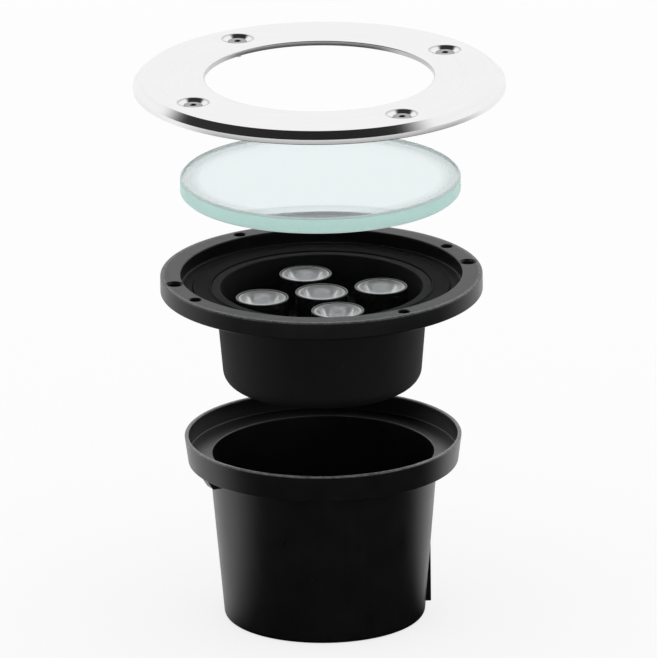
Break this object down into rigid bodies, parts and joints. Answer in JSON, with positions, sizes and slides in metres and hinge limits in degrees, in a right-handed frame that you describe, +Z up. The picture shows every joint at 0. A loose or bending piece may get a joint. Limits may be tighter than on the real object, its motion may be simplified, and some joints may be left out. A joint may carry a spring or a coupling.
{
  "type": "in-ground well light",
  "caption": "Round recessed ground light laid out along its axis: steel trim ring, thick glass, lamp housing with lensed emitters, and burial sleeve.",
  "frame": {"origin": "centre of the sleeve's foot, on the ground it stands on", "axes": "+Z up along the light's axis; +Y away from the viewer of the picture, +X to the viewer's right"},
  "size_m": [0.15, 0.15, 0.2278],
  "materials": {
    "sleeve_plastic": "black moulded plastic, satin",
    "housing_coat": "black powder coat, fine texture",
    "gasket_rubber": "black silicone rubber",
    "board_black": "black solder mask",
    "pad_grey": "grey thermal pad",
    "plate_aluminium": "milled aluminium",
    "emitter_yellow": "phosphor yellow under a clear dome",
    "small_screw_steel": "zinc plated",
    "board_green": "green circuit board",
    "choke_ferrite": "wound copper wire on ferrite",
    "capacitor_sleeve": "dark sleeved can",
    "terminal_plastic": "green terminal housing",
    "lead_insulation": "insulated wire",
    "gland_plastic": "black polyamide",
    "toughened_glass": "clear toughened glass, green at its edge",
    "ring_steel": "stainless, fine turned finish",
    "screw_steel": "stainless screw",
    "holder_plastic": "black glossy plastic",
    "reflector_silver": "vacuum silvered",
    "lens_clear": "clear moulded lens"
  },
  "bodies": {
    "sleeve": {"mounting_sleeve": "sleeve_plastic"},
    "lamp": {"housing": "housing_coat", "seat_gasket": "gasket_rubber", "light_board": "board_black", "thermal_pad": "pad_grey", "heat_plate": "plate_aluminium", "led_emitters": "emitter_yellow", "lens_reflectors": "reflector_silver", "board_screws": "small_screw_steel", "driver_board": "board_green", "driver_screws": "small_screw_steel", "driver_inductor": "choke_ferrite", "driver_capacitors": "capacitor_sleeve", "terminal_block": "terminal_plastic", "led_leads": "lead_insulation", "gland_body": "gland_plastic", "gland_seal": "gasket_rubber", "gland_nut": "gland_plastic", "gland_lock_nut": "gland_plastic", "gland_ring": "gasket_rubber", "lens_holder_centre": "holder_plastic", "lens_holder_right": "holder_plastic", "lens_holder_back": "holder_plastic", "lens_holder_left": "holder_plastic", "lens_holder_front": "holder_plastic", "collimator_centre": "lens_clear", "collimator_right": "lens_clear", "collimator_back": "lens_clear", "collimator_left": "lens_clear", "collimator_front": "lens_clear"},
    "glass": {"glass_lens": "toughened_glass"},
    "ring": {"trim_ring": "ring_steel"},
    "screws": {"ring_screws": "screw_steel"}
  },
  "joints": [
    {"name": "lamp_lift", "type": "slide", "parent": "sleeve", "child": "lamp", "axis": [0, 0, 1], "range_m": [-0.0609, 0]},
    {"name": "glass_lift", "type": "slide", "parent": "lamp", "child": "glass", "axis": [0, 0, 1], "range_m": [-0.0398, 0]},
    {"name": "ring_lift", "type": "slide", "parent": "glass", "child": "ring", "axis": [0, 0, 1], "range_m": [-0.0397, 0]},
    {"name": "screw_lift", "type": "slide", "parent": "ring", "child": "screws", "axis": [0, 0, 1], "range_m": [0, 0.009]}
  ]
}
